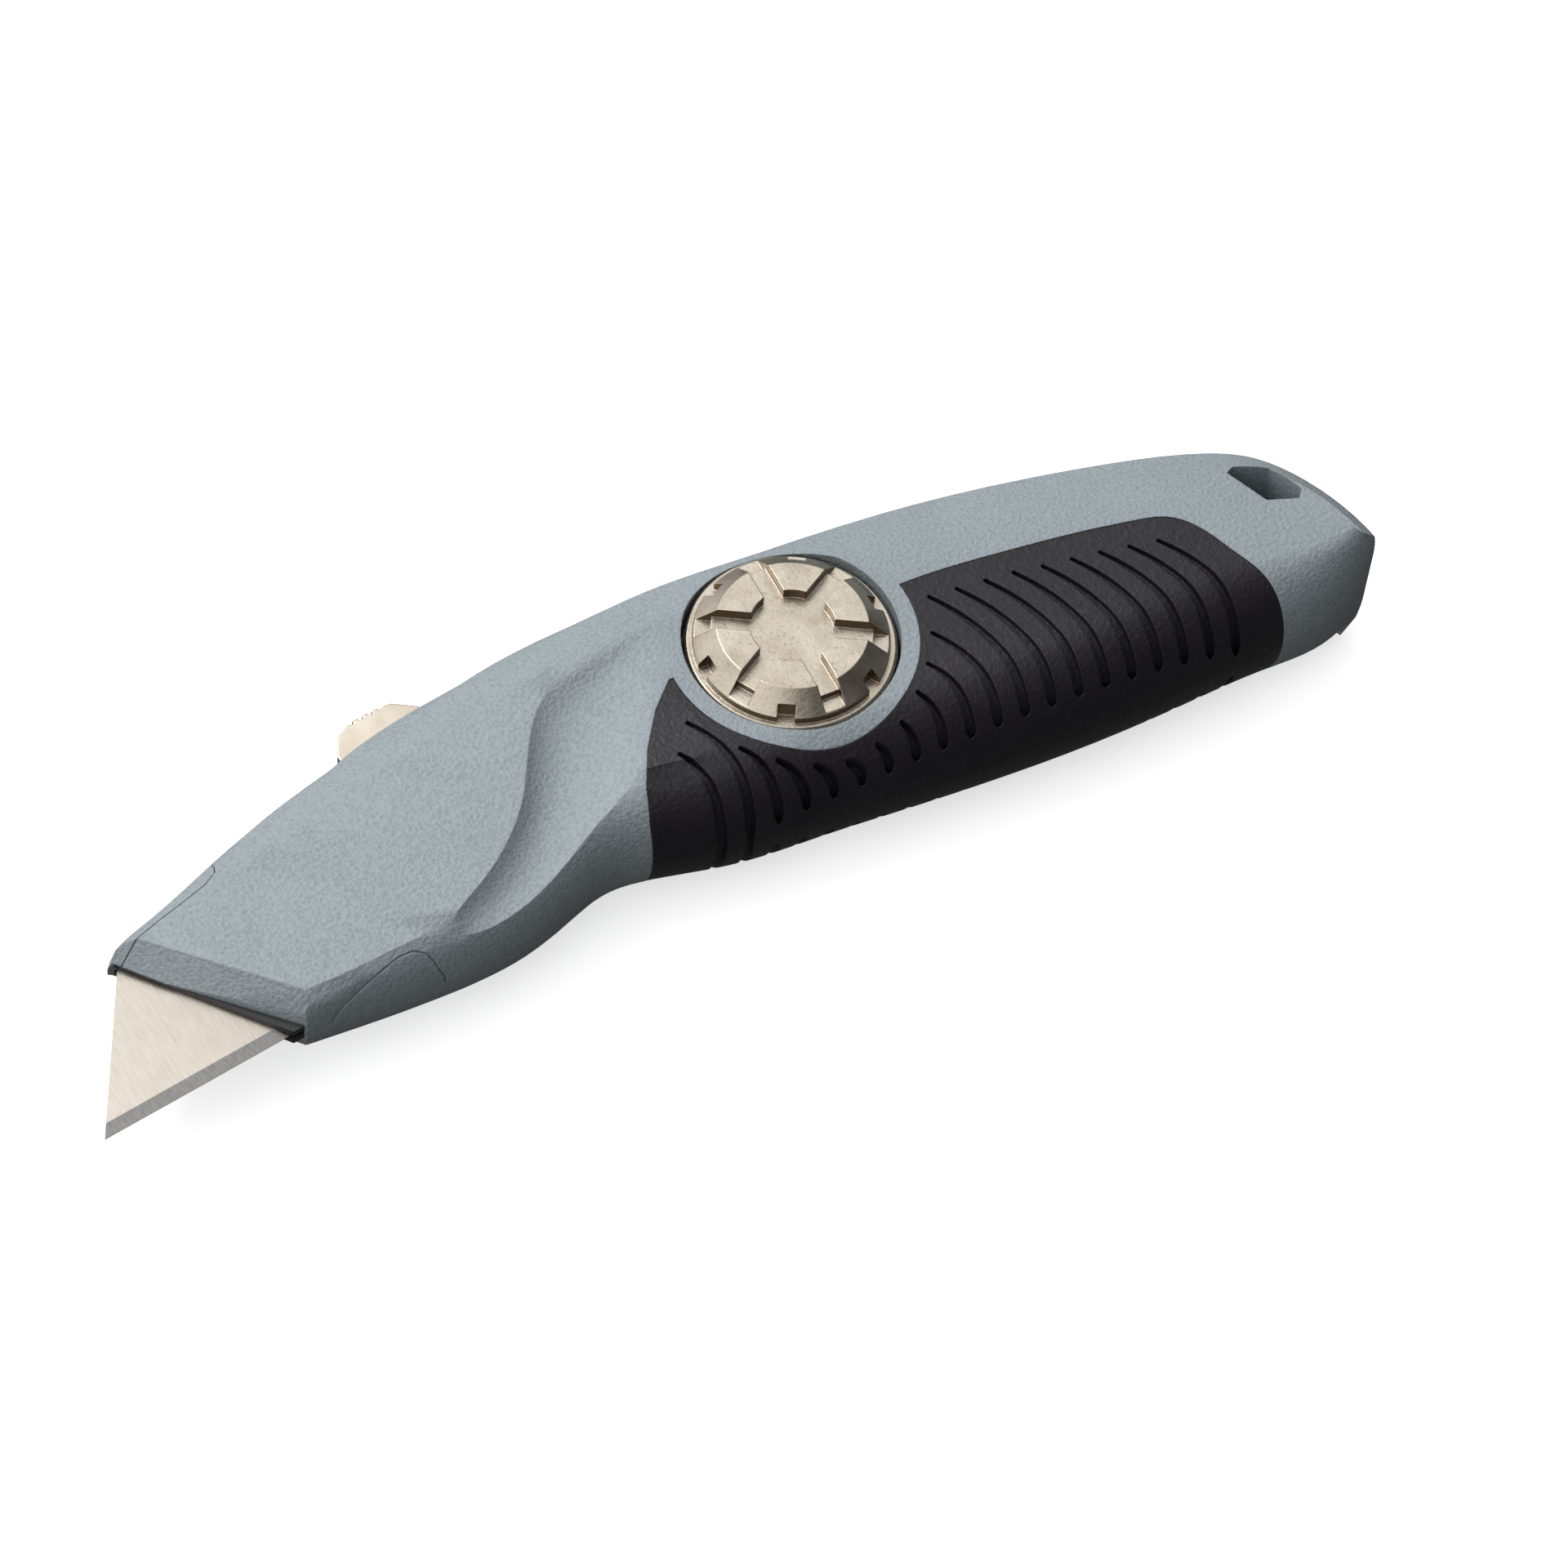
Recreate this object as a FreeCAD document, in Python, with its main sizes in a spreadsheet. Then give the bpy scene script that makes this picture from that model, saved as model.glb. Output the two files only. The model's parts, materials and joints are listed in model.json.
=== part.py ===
import FreeCAD, Part
import Sketcher
import math
import os

from FreeCAD import Rotation, Vector

# Retractable utility knife with two casing halves held by one thumb screw.
# Design frame: the knob axis is Z through x = y = 0 and the halves part at
# z = 0.  X runs along the cutting edge with the blade towards -X, the spine is
# towards +Y and the knob faces +Z.  The finished pieces are shifted by
# origin_x, origin_y and origin_z, so the knife lies on its left side with the
# row origin at the middle of its footprint.

doc = FreeCAD.newDocument("utility_knife")
sheet = doc.addObject("Spreadsheet::Sheet", "Sizes")


class Size:
    """A length that knows its number and the expression that gives it."""

    def __init__(self, value, text):
        self.value = float(value)
        self.text = text

    def _join(self, other, sign, value):
        return Size(value, f"({self.text} {sign} {as_size(other).text})")

    def __add__(self, other):
        return self._join(other, "+", self.value + as_size(other).value)

    def __sub__(self, other):
        return self._join(other, "-", self.value - as_size(other).value)

    def __radd__(self, other):
        return as_size(other) + self

    def __rsub__(self, other):
        return as_size(other) - self

    def __rmul__(self, other):
        return as_size(other) * self

    def __mul__(self, other):
        return self._join(other, "*", self.value * as_size(other).value)

    def __truediv__(self, other):
        return self._join(other, "/", self.value / as_size(other).value)

    def __neg__(self):
        return Size(-self.value, f"(0 - {self.text})")


def as_size(number):
    """Wrap a plain number, so that it can stand in an expression."""
    if isinstance(number, Size):
        return number
    return Size(number, repr(float(number)))


class Sizes:
    """The driving dimensions, one spreadsheet row each."""

    def __init__(self, table):
        for row, (alias, number) in enumerate(table.items(), start=1):
            sheet.set(f"A{row}", alias)
            sheet.set(f"B{row}", str(number))
            sheet.setAlias(f"B{row}", alias)
            setattr(self, alias, Size(number, f"Sizes.{alias}"))


S = Sizes({
    # casing
    "nose_length": 92.0,          # knob axis to the nose's upper corner
    "tail_length": 72.0,          # knob axis to the tail's end
    "spine_height": 19.8,         # knob axis to the highest point of the spine
    "belly_depth": 29.4,          # knob axis to the lowest point of the belly
    "side_height": 11.0,          # parting plane to a side face
    "nose_height": 4.2,           # parting plane to the side face at the nose
    "spine_band": 7.2,            # width of the sloping band along the spine
    "belly_across": 8.6,          # how far the belly's rounding reaches into the side
    "bevel_width": 2.4,           # bevel across the nose's front
    "bevel_drop": 3.0,
    "seam_gap": 0.12,
    "near_cavity": 4.2,           # cavity depth in the right half, and in the left half
    "far_cavity": 5.6,            # but here, beside the detent rail
    "scoop_depth": 3.0,           # depth of the finger scoop under the cheek
    # grip
    "grip_height": 10.9,
    "grip_skin": 1.5,             # rubber thickness on the belly
    "grip_bed": 7.8,              # parting plane to the bed under the rubber
    "groove_width": 1.5,           # at the lower end
    "groove_tip": 0.6,            # at the upper end
    "groove_depth": 0.9,
    "groove_pitch": 3.66,
    # knob and screw
    "collar_radius": 15.8,
    "recess_radius": 13.6,
    "recess_floor": 6.2,
    "knob_radius": 13.2,
    "knob_top": 13.6,
    "knob_dish": 12.1,            # parting plane to the star-shaped floor
    "petal_inner": 5.3,
    "petal_flat": 9.4,
    "petal_outer": 12.2,
    "channel_width": 2.7,
    "rim_notch_width": 2.2,
    "washer_radius": 8.5,
    "washer_thickness": 0.7,
    "stud_radius": 2.6,
    "stud_reach": 7.5,            # parting plane to the stud's tip
    "stud_seat": 10.0,            # parting plane to the end of the knob's bore
    "stud_hole_radius": 3.0,
    "clip_radius": 4.6,
    "clip_thickness": 0.7,
    "clip_groove_radius": 2.1,
    "running_fit": 0.05,
    "insert_radius": 4.0,
    "insert_length": 7.4,
    "insert_top": 1.0,            # parting plane to the insert's upper face
    # blade
    "blade_length": 61.0,
    "blade_back_length": 33.4,
    "blade_width": 19.0,
    "blade_thickness": 0.65,
    "blade_bevel": 1.7,
    "blade_edge_thickness": 0.08,
    "blade_tip_x": -104.7,
    "blade_edge_y": -8.3,
    "blade_notch_width": 3.0,
    "blade_notch_depth": 2.5,
    "blade_notch_spacing": 8.0,
    "blade_gap": 0.075,           # blade face to each part beside it
    "guide_thickness": 0.9,
        "channel_gap": 0.45,          # blade edge or back to the channel's wall
    # carriage
    "travel": 27.5,
    "carrier_front": -71.0,
    "carrier_rear": -37.5,
    "beam_front": -57.0,
    "beam_top": 16.2,
    "carrier_half": 2.9,
    "carrier_gap": 0.2,
    "button_front": -52.9,
    "button_rear": -40.5,
    "button_top": 24.0,
    "button_half": 2.5,
    "button_bottom": 14.4,
    "button_press": 1.2,
    "button_tab_half": 3.8,
    "button_tab_height": 1.2,
    "slot_gap": 0.5,
    "clip_sheet": 0.6,
    "rivet_radius": 0.9,
    "leaf_thickness": 0.35,
    "leaf_height": 1.7,
    "rail_thickness": 0.8,
    "detent_width": 3.6,
    # magazine
    "stack_x": -3.8,
    "stack_y": -13.9,
    "stack_turn": -9.5,
    "stack_gap": 0.05,
    "tray_wall": 1.0,
    "tray_floor": 0.7,
    "tray_gap": 0.3,
    # small parts and openings
    "pin_radius": 1.25,
    "pin_reach": 3.6,
    "pin_fit": 0.08,
    # shift to the row frame
    "origin_x": 16.35,
    "origin_y": 2.7,
    "origin_z": 11.0,
})

SPARE_BLADES = 5
DETENTS = 4
KNOB_PETALS = 6
PETAL_TURN = -9.0
parts = []


def fail(message):
    raise SystemExit(message)


def bind(feature, **sizes):
    """Set properties to sizes by expression."""
    for name, size in sizes.items():
        feature.setExpression(name, as_size(size).text)


def place(feature, x=0.0, y=0.0, z=0.0):
    """Bind a feature's position to sizes."""
    for axis, size in zip("xyz", (x, y, z)):
        feature.setExpression(f".Placement.Base.{axis}", as_size(size).text)


def finish(label, *pieces):
    """Node of one or more finished pieces, moved to the row frame."""
    node = doc.addObject("Part::Compound", label + "_node")
    node.Links = list(pieces)
    node.Label = label
    place(node, S.origin_x, S.origin_y, S.origin_z)
    parts.append(node)


def new_body(name):
    return doc.addObject("PartDesign::Body", name)


def new_sketch(body, name, plane="XY_Plane"):
    sketch = body.newObject("Sketcher::SketchObject", name)
    origin_plane = [f for f in body.Origin.OriginFeatures if f.Role == plane][0]
    sketch.AttachmentSupport = [(origin_plane, "")]
    sketch.MapMode = "FlatFace"
    return sketch


def draw_polygon(sketch, points):
    """Closed polygon whose corners are bound to sizes."""
    corners = [(as_size(x), as_size(y)) for x, y in points]
    first = sketch.GeometryCount
    flat = [Vector(x.value, y.value, 0) for x, y in corners]
    count = len(flat)
    for i in range(count):
        sketch.addGeometry(Part.LineSegment(flat[i], flat[(i + 1) % count]), False)
    for i in range(count):
        sketch.addConstraint(
            Sketcher.Constraint("Coincident", first + i, 2, first + (i + 1) % count, 1))
    for i, (x, y) in enumerate(corners):
        for kind, size in (("DistanceX", x), ("DistanceY", y)):
            number = sketch.addConstraint(
                Sketcher.Constraint(kind, -1, 1, first + i, 1, size.value))
            sketch.setExpression(f"Constraints[{number}]", size.text)


def curve_through(points):
    """Smooth curve through a few points."""
    curve = Part.BSplineCurve()
    curve.interpolate([Vector(x, y, 0) for x, y in points])
    return curve


def line_between(a, b):
    return Part.LineSegment(Vector(a[0], a[1], 0), Vector(b[0], b[1], 0))


def pad(body, sketch, length, name, reverse=False, midplane=False):
    feature = body.newObject("PartDesign::Pad", name)
    feature.Profile = sketch
    feature.Reversed = reverse
    feature.Midplane = midplane
    bind(feature, Length=length)
    return feature


def pocket(body, sketch, length, name):
    feature = body.newObject("PartDesign::Pocket", name)
    feature.Profile = sketch
    bind(feature, Length=length)
    return feature


def block(name, x, y, z):
    """Box from three pairs of sizes."""
    low = [as_size(pair[0]) for pair in (x, y, z)]
    high = [as_size(pair[1]) for pair in (x, y, z)]
    feature = doc.addObject("Part::Box", name)
    bind(feature, Length=high[0] - low[0], Width=high[1] - low[1], Height=high[2] - low[2])
    place(feature, *low)
    return feature


def cylinder(name, x, y, z_low, z_high, radius):
    feature = doc.addObject("Part::Cylinder", name)
    bind(feature, Radius=radius, Height=as_size(z_high) - z_low)
    place(feature, x, y, z_low)
    return feature


def slab(name, points, z_low, z_high):
    """Flat plate with a polygon outline."""
    body = new_body(name)
    sketch = new_sketch(body, name + "_outline")
    draw_polygon(sketch, points)
    pad(body, sketch, as_size(z_high) - z_low, name + "_pad")
    place(body, 0, 0, z_low)
    return body


def fuse(name, *features):
    feature = doc.addObject("Part::MultiFuse", name)
    feature.Shapes = list(features)
    return feature


def common(name, first, second):
    feature = doc.addObject("Part::MultiCommon", name)
    feature.Shapes = [first, second]
    return feature


def cut(name, base, *tools):
    feature = doc.addObject("Part::Cut", name)
    feature.Base = base
    if len(tools) == 1:
        feature.Tool = tools[0]
    else:
        feature.Tool = fuse(name + "_tools", *tools)
    return feature


def mirrored(name, source):
    """The same shape on the other side of the parting plane."""
    feature = doc.addObject("Part::Mirroring", name)
    feature.Source = source
    feature.Base = Vector(0, 0, 0)
    feature.Normal = Vector(0, 0, 1)
    return feature





# ---------------------------------------------------------------- side outline

FAR = 45.0                        # past every face of the knife, for cutting tools

# Each corner point of the outline: share of the length ahead of or behind the
# knob, share of the height above or below it, and share of the full rounding.
SPINE = [(-1.0, 0.565, 0.2), (-0.975, 0.615, 0.28), (-0.895, 0.69, 0.45), (-0.8, 0.795, 0.65),
         (-0.63, 0.925, 0.85), (-0.4, 1.0, 1.0), (-0.2, 0.955, 1.0), (0.06, 0.785, 1.0),
         (0.3, 0.6, 1.0), (0.58, 0.29, 1.0), (0.72, 0.09, 0.95), (0.86, -0.115, 0.8)]
TAIL = [(0.93, -0.27, 0.6), (0.975, -0.5, 0.45), (0.998, -0.78, 0.4), (0.999, -0.9, 0.38)]
BELLY = [(0.965, -0.95, 0.4), (0.88, -1.0, 0.6), (0.77, -0.985, 0.85), (0.52, -0.925, 1.0),
         (0.325, -0.855, 1.0), (0.18, -0.785, 1.0), (0.043, -0.71, 1.0)]
WAIST = [(-0.077, -0.632, 1.0), (-0.19, -0.55, 0.95), (-0.295, -0.43, 0.85), (-0.365, -0.372, 0.75),
         (-0.43, -0.4, 0.65), (-0.51, -0.44, 0.55), (-0.62, -0.425, 0.45), (-0.76, -0.355, 0.36),
         (-0.835, -0.31, 0.3)]


def outline_points():
    """Spine with the tail, and belly with the waist, as (x, y, rounding share)."""
    nose, tail = S.nose_length.value, S.tail_length.value
    top, low = S.spine_height.value, S.belly_depth.value

    def scaled(table):
        return [(x * (nose if x < 0 else tail), y * (top if y > 0 else low), share)
                for x, y, share in table]

    return scaled(SPINE + TAIL), scaled(BELLY + WAIST)


def side_height_at(x):
    """Height of the side face at x, from its slope towards the nose."""
    run = SLOPE_SHARE * S.nose_length.value
    share = min(1.0, max(0.0, (x + S.nose_length.value) / run))
    rise = S.side_height.value - S.nose_height.value
    return S.nose_height.value + rise * (share + SLOPE_BOW * share * (1.0 - share))


def inward(points, inset_at, even, z, drop):
    """Move each point to the right of its direction of travel, by the even
    inset and by its share of the rounding at this height."""
    moved = []
    for i, (x, y, share) in enumerate(points):
        before = points[max(i - 1, 0)]
        after = points[min(i + 1, len(points) - 1)]
        dx, dy = after[0] - before[0], after[1] - before[1]
        length = math.hypot(dx, dy)
        inset = even + share * inset_at(min(z / (side_height_at(x) - drop), 1.0))
        moved.append(Vector(x + inset * dy / length, y - inset * dx / length, z))
    return moved


def run_of(table):
    """Distance along the table's points, the same for every level."""
    run = [0.0]
    for (x0, y0, _), (x1, y1, _) in zip(table, table[1:]):
        run.append(run[-1] + math.hypot(x1 - x0, 0.3 * (y1 - y0)))
    return run


SLOPE_SHARE = 0.82                # share of the nose's length over which the side slopes
SLOPE_BOW = 0.12
ROUND_START = 0.42                # share of the height where the spine starts to round
BAND_START = 0.79                 # share of the height where the spine's band starts
BAND_LIP = 0.2                    # share of the band's width that the rounding takes
LEVELS = (0.0, 0.12, 0.24, 0.34, 0.44, 0.54, 0.63, 0.71, 0.79, 0.86, 0.92, 0.96, 0.985, 1.0)


def spine_inset(share):
    if share <= ROUND_START:
        return 0.0
    if share <= BAND_START:
        along = (share - ROUND_START) / (BAND_START - ROUND_START)
        return BAND_LIP * S.spine_band.value * along * along
    along = (share - BAND_START) / (1.0 - BAND_START)
    return S.spine_band.value * (BAND_LIP + (1.0 - BAND_LIP) * along)


def belly_inset(share):
    return S.belly_across.value * (1.0 - math.sqrt(1.0 - share * share))


def outline_wire(inset, z, drop):
    """Outline of the body at one height."""
    spine, belly = outline_points()
    spine = inward(spine, spine_inset, inset, z, drop)
    belly = inward(belly, belly_inset, inset, z, drop)
    upper, lower = Part.BSplineCurve(), Part.BSplineCurve()
    upper.interpolate(Points=spine, Parameters=run_of(SPINE + TAIL))
    lower.interpolate(Points=belly, Parameters=run_of(BELLY + WAIST))
    edges = [upper.toShape(), Part.makeLine(spine[-1], belly[0]),
             lower.toShape(), Part.makeLine(belly[-1], spine[0])]
    return Part.Wire(edges)


def slope_tool(drop):
    """Everything above the side face, from ahead of the nose to the knob."""
    nose = S.nose_length.value
    steps = [-nose + SLOPE_SHARE * nose * i / 8 for i in range(9)]
    line = [Vector(x, -FAR, side_height_at(x) - drop) for x in steps]
    line.insert(0, line[0] * 2 - line[1])
    profile = Part.BSplineCurve()
    profile.interpolate(line)
    above = Vector(0, 0, FAR)
    wire = Part.Wire([profile.toShape(), Part.makeLine(line[-1], line[-1] + above),
                      Part.makeLine(line[-1] + above, line[0] + above),
                      Part.makeLine(line[0] + above, line[0])])
    return Part.Face(wire).extrude(Vector(0, 2 * FAR, 0))


def rounded_half(name, height, inset=0.0):
    """Half of the knife's body: an elliptic belly, a rounded spine with a
    sloping band, and a side face that slopes down to the nose."""
    drop = S.side_height.value - height
    levels = [outline_wire(inset, share * height, drop) for share in LEVELS]
    feature = doc.addObject("Part::Feature", name)
    feature.Shape = Part.makeLoft(levels, True, True).cut(slope_tool(drop)).Solids[0]
    return feature


form = rounded_half("casing_form", S.side_height.value)


# ---------------------------------------------------------------- shared tools

def region(name, ridge, outer, z_low, z_high):
    """Pad whose outline is a smooth curve closed by straight runs."""
    body = new_body(name)
    sketch = new_sketch(body, name + "_outline")
    sketch.addGeometry(curve_through(ridge), False)
    runs = [ridge[-1]] + outer + [ridge[0]]
    for a, b in zip(runs, runs[1:]):
        sketch.addGeometry(line_between(a, b), False)
    pad(body, sketch, as_size(z_high) - z_low, name + "_pad")
    place(body, 0, 0, z_low)
    return body


nose_corner = (-S.nose_length + 1.2, 10.2)
nose_foot = (-S.nose_length + 13.2, -8.9)


def seam_plate(name, gap):
    """Everything that belongs to the right half: all of it behind the nose,
    and a plate between the left half's two lips at the nose."""
    corner_x, corner_y = nose_corner
    foot_x, foot_y = nose_foot
    shrink = as_size(gap)
    points = [
        (corner_x + shrink, corner_y - shrink), (corner_x + 7.0, corner_y + 1.5 - shrink),
        (corner_x + 13.6, corner_y + 2.3 - shrink), (corner_x + 15.4 + shrink, corner_y + 3.1),
        (corner_x + 16.0 + shrink, corner_y + 4.2), (corner_x + 16.2 + shrink, FAR),
        (2.0 * FAR, FAR), (2.0 * FAR, -FAR), (foot_x + 21.3 + shrink, -FAR),
        (foot_x + 20.6 + shrink, foot_y - 3.8), (foot_x + 18.9 + shrink, foot_y - 2.9),
        (foot_x + 17.8 + shrink, foot_y - 1.6), (foot_x + 16.4 + shrink, foot_y - 0.85 + shrink),
        (foot_x + 14.6, foot_y - 0.6 + shrink), (foot_x + 8.5, foot_y - 0.85 + shrink),
        (foot_x + 2.0, foot_y - 0.75 + shrink), (foot_x + shrink, foot_y - 0.2 + shrink)]
    return slab(name, points, 0, FAR)


def nose_bevel(name):
    """Wedge that bevels the side face along the nose's slanted front."""
    (ax, ay), (bx, by) = [(x.value, y) for x, y in (nose_corner, nose_foot)]
    turn = math.degrees(math.atan2(ay - by, ax - bx))
    deep = S.nose_height.value - S.bevel_drop.value
    steep = S.bevel_drop.value / S.bevel_width.value
    body = new_body(name)
    sketch = new_sketch(body, name + "_side", "XZ_Plane")
    high = deep + steep * (3.0 * S.bevel_width.value)
    draw_polygon(sketch, [(-5.0, deep - 5.0 * steep), (-5.0, high),
                          (S.bevel_width * 3.0, high)])
    pad(body, sketch, FAR * 2.0, name + "_pad", midplane=True)
    body.Placement = FreeCAD.Placement(Vector(bx, by, 0), Rotation(Vector(0, 0, 1), turn - 90.0))
    return body


def cavity(name, beam_depth):
    """Hollow for the carriage, the button and the magazine."""
    edge_y = S.blade_edge_y
    back_y = S.blade_edge_y + S.blade_width
    chamber_end = S.carrier_rear + S.travel + S.carrier_gap * 2
    nose_x = S.carrier_front - 1.5
    blade_room = block(name + "_blade_room", (nose_x, chamber_end),
                       (edge_y - S.channel_gap, back_y + S.channel_gap), (-0.01, S.near_cavity))
    beam_room = block(name + "_beam_room", (S.beam_front - 0.6, chamber_end),
                      (back_y, S.beam_top + S.carrier_gap), (-0.01, beam_depth))
    tray_room = stack_plate(name + "_tray_room", S.tray_wall + S.tray_gap * 2, -0.01, S.near_cavity)
    return fuse(name, blade_room, beam_room, tray_room)


def stack_outline(grow):
    """Blade outline grown on every side, its sharp corners cut off."""
    lean = (S.blade_length - S.blade_back_length) / 2
    spread = as_size(grow) * 1.25
    return [(-spread, -as_size(grow)), (S.blade_length + spread, -as_size(grow)),
            (S.blade_length + spread, as_size(grow) * 0.8),
            (S.blade_length - lean + as_size(grow) * 0.7, S.blade_width + grow),
            (lean - as_size(grow) * 0.7, S.blade_width + grow), (-spread, as_size(grow) * 0.8)]


def stack_placement(z):
    turn = Rotation(Vector(0, 0, 1), S.stack_turn.value)
    return FreeCAD.Placement(Vector(S.stack_x.value, S.stack_y.value, z), turn)


def stack_plate(name, grow, z_low, z_high):
    body = new_body(name)
    sketch = new_sketch(body, name + "_outline")
    draw_polygon(sketch, stack_outline(grow))
    pad(body, sketch, as_size(z_high) - z_low, name + "_pad")
    body.Placement = stack_placement(as_size(z_low).value)
    return body


# Finger scoop between the cheek's S-shaped ridge and the knob.  Each row runs
# from the ridge across the hollow to the grip: (x, y) of its four points.
SCOOP_ROWS = [((-66.0, -15.0), (-62.0, -17.0), (-52.0, -18.0), (-29.0, -19.0)),
              ((-58.5, -9.3), (-54.5, -11.0), (-46.0, -13.0), (-28.0, -13.5)),
              ((-51.2, -7.3), (-47.8, -9.2), (-41.0, -11.0), (-27.0, -9.0)),
              ((-46.5, -5.0), (-43.4, -6.9), (-37.5, -7.5), (-25.0, -5.0)),
              ((-42.8, -2.6), (-39.9, -4.2), (-34.5, -4.0), (-22.0, -1.0)),
              ((-39.6, 0.3), (-36.8, -1.0), (-31.5, 0.0), (-18.0, 2.5)),
              ((-37.0, 3.8), (-34.2, 2.8), (-29.0, 3.5), (-15.0, 5.5)),
              ((-33.9, 7.5), (-31.4, 5.9), (-26.5, 6.5), (-14.0, 8.0)),
              ((-31.5, 9.8), (-29.0, 8.2), (-24.5, 8.6), (-13.0, 9.5)),
              ((-27.5, 11.9), (-25.6, 10.2), (-22.0, 10.3), (-12.5, 10.6)),
              ((-22.6, 13.1), (-21.4, 11.7), (-18.5, 11.5), (-11.5, 11.4))]
SCOOP_DROPS = (0.75, 0.95, 1.0, 1.0, 1.0, 0.95, 0.85, 0.7, 0.45, 0.1, -0.3)
SCOOP_ACROSS = (0.0, 1.4, 0.8, 0.0)
SCOOP_LIFT = (0.35, 0.0, 0.0, 0.25)   # height of its two edges above the side face


def scoop_solid():
    """Everything above the scoop's curved floor."""
    grid = []
    for row, drop in zip(SCOOP_ROWS, SCOOP_DROPS):
        line = []
        for (x, y), across, lift in zip(row, SCOOP_ACROSS, SCOOP_LIFT):
            height = side_height_at(x)
            if y < -9.0:
                height -= 0.12 * (-9.0 - y) * across
            line.append(Vector(x, y, height + lift - S.scoop_depth.value * drop * across))
        grid.append(line)
    floor = Part.BSplineSurface()
    spans = len(grid) - 3
    floor.buildFromPolesMultsKnots(grid, [4] + [1] * (spans - 1) + [4], [4, 4],
                                   list(range(spans + 1)), [0, 1], False, False, 3, 3)
    return Part.Face(floor).extrude(Vector(0, 0, 12))


scoop = doc.addObject("Part::Feature", "finger_scoop")
scoop.Shape = scoop_solid()

grip_form = rounded_half("grip_form", S.grip_height.value)
grip_core = rounded_half("grip_core", S.grip_bed.value, S.grip_skin.value)
groove_core = rounded_half("groove_core", S.grip_height.value - S.groove_depth.value,
                           S.groove_depth.value)

collar_gap = S.collar_radius + 0.05
grip_zone = cut("grip_zone", region(
    "grip_outline",
    [(56.0, -FAR), (56.0, -30.0), (55.5, -25.5), (54.1, -20.5), (53.2, -16.5), (52.2, -13.6),
     (50.8, -11.5), (49.1, -10.2), (47.0, -9.3), (40.4, -7.0), (30.4, -4.1), (20.4, -1.6),
     (15.8, -0.8)],
    [(0.0, 0.0), (-14.0, 3.0), (-16.2, 3.1), (-20.0, 0.5), (-24.0, -3.5), (-27.0, -7.6),
     (-28.4, -10.6), (-28.9, -13.0), (-29.2, -FAR)], 0, FAR),
    cylinder("collar_clear", 0, 0, -1, FAR + 1, collar_gap))
grip_bedding = cut("grip_bedding", grip_zone, grip_core)


def groove_ends():
    """Top and bottom of each groove, from the front of the grip to its rear."""
    tops = [(-21.2, -6.4), (-17.9, -3.3), (-14.6, -9.8), (-11.4, -13.2), (-7.4, -15.6),
            (-3.5, -17.0), (0.7, -17.3), (4.6, -16.9), (8.3, -15.0), (11.8, -12.4),
            (15.0, -9.0), (17.9, -4.4), (21.5, -5.3), (25.2, -6.2), (28.9, -7.2),
            (32.5, -8.4), (36.2, -9.5), (39.8, -10.6), (43.4, -11.9), (47.0, -13.2)]
    bottoms = []
    for i in range(len(tops)):
        x = -20.6 + S.groove_pitch.value * i
        bottoms.append((x, -15.0 - 0.178 * (x + 20.6)))
    return zip(tops, bottoms)


def groove_solid(top, bottom):
    """Bowed slot with round ends, narrower at its top, cut from above."""
    half, tip = S.groove_width.value / 2, S.groove_tip.value / 2
    mean = (half + tip) / 2
    dx, dy = bottom[0] - top[0], bottom[1] - top[1]
    length = math.hypot(dx, dy)
    bow = 0.09 * length
    side = Vector(-dy / length, dx / length, 0)
    if side.x < 0:
        side = side * -1
    start, end = Vector(top[0], top[1], 0), Vector(bottom[0], bottom[1], 0)
    middle = (start + end) * 0.5 + side * bow
    outer = Part.Arc(start + side * tip, middle + side * mean, end + side * half)
    inner = Part.Arc(end - side * half, middle - side * mean, start - side * tip)
    along = Vector(dx / length, dy / length, 0)
    foot = Part.Arc(end + side * half, end + along * half, end - side * half)
    head = Part.Arc(start - side * tip, start - along * tip, start + side * tip)
    wire = Part.Wire([outer.toShape(), foot.toShape(), inner.toShape(), head.toShape()])
    return Part.Face(wire).extrude(Vector(0, 0, FAR))


grooves = doc.addObject("Part::Feature", "grip_grooves")
grooves.Shape = Part.makeCompound([groove_solid(a, b) for a, b in groove_ends()]).cut(groove_core.Shape)

right_grip = cut("right_grip_shape", common("right_grip_block", grip_form, grip_bedding), grooves)
left_grip = mirrored("left_grip_shape", right_grip)


def lanyard_tool(name):
    """Five-sided hole that runs right through both halves."""
    x, y = S.tail_length - 11.2, S.spine_height * -0.48
    points = [(x - 0.2, y - 0.1), (x + 1.1, y + 0.3), (x + 5.1, y - 2.0), (x + 6.2, y - 7.2),
              (x + 5.0, y - 8.2), (x + 1.4, y - 6.2)]
    return slab(name, points, -FAR, FAR)


pin_places = [(-S.nose_length + 24.6, 13.8), (S.tail_length - 41.0, 4.2), (S.tail_length - 8.4, -23.4)]


def pin_tools(name, grow):
    return fuse(name, *[cylinder(f"{name}_{i}", x, y, -S.pin_reach, S.pin_reach,
                                 S.pin_radius + grow)
                        for i, (x, y) in enumerate(pin_places, start=1)])


def button_slot(name):
    return block(name, (S.button_front - S.slot_gap, S.button_rear + S.travel + S.slot_gap),
                 (S.beam_top - 0.5, FAR), (-S.button_half - 0.3, S.button_half + 0.3))


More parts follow.
